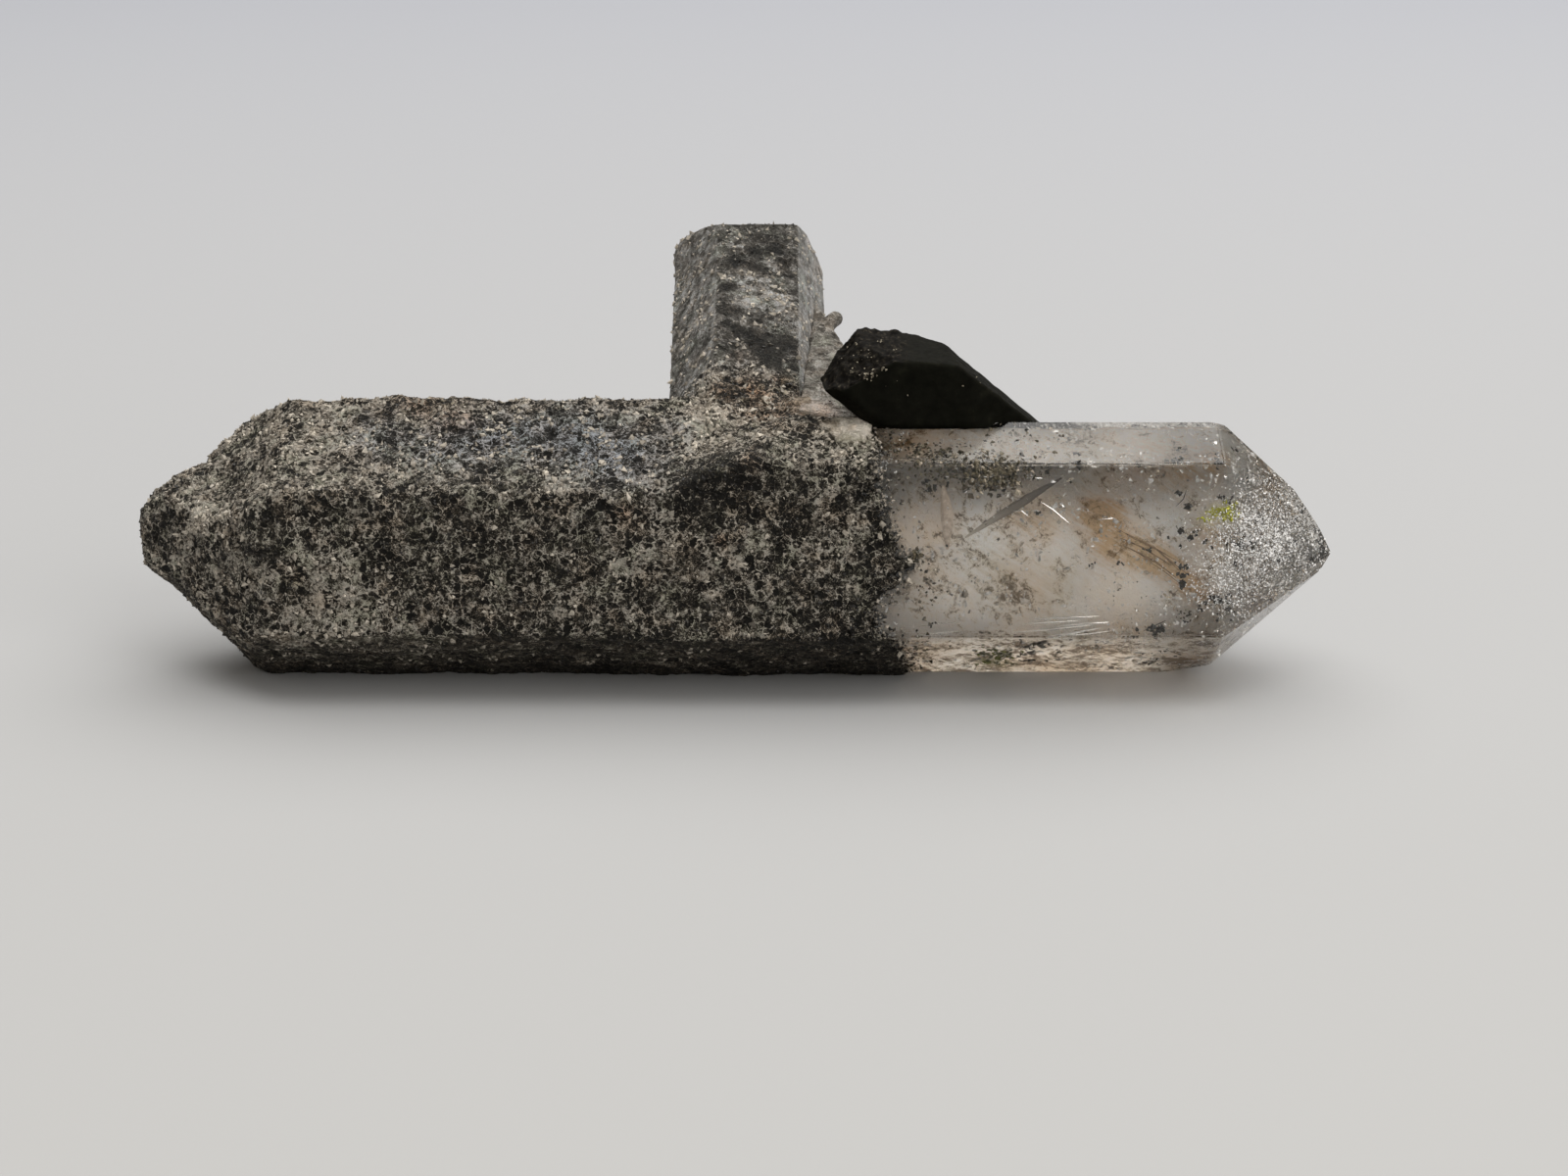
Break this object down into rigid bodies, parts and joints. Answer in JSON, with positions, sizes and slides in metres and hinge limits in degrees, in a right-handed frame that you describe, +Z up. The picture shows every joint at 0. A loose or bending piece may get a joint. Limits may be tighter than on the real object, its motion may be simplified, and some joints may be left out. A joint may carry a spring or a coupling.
{
  "type": "double terminated quartz crystal",
  "caption": "Quartz crystal pointed at both ends, one end clear with inclusions, the rest under a grainy crust, with a crusted side crystal and a dark crystal.",
  "frame": {"origin": "on the flat face that the specimen rests on, under the middle of the main crystal", "axes": "+X along the main crystal towards its clear end, +Y back towards the second crystal's far end, +Z up"},
  "size_m": [0.0793, 0.0331, 0.0266],
  "materials": {
    "quartz": "clear to cloudy natural crystal, polished growth faces, included grains",
    "crust": "rough granular crust of pale beige and dark green grey mineral grains",
    "dark_mineral": "near black vitreous crystal with fine striations and pale grains on its broken end"
  },
  "bodies": {
    "root": {"quartz": "quartz", "dark_crystal": "dark_mineral"}
  },
  "joints": []
}
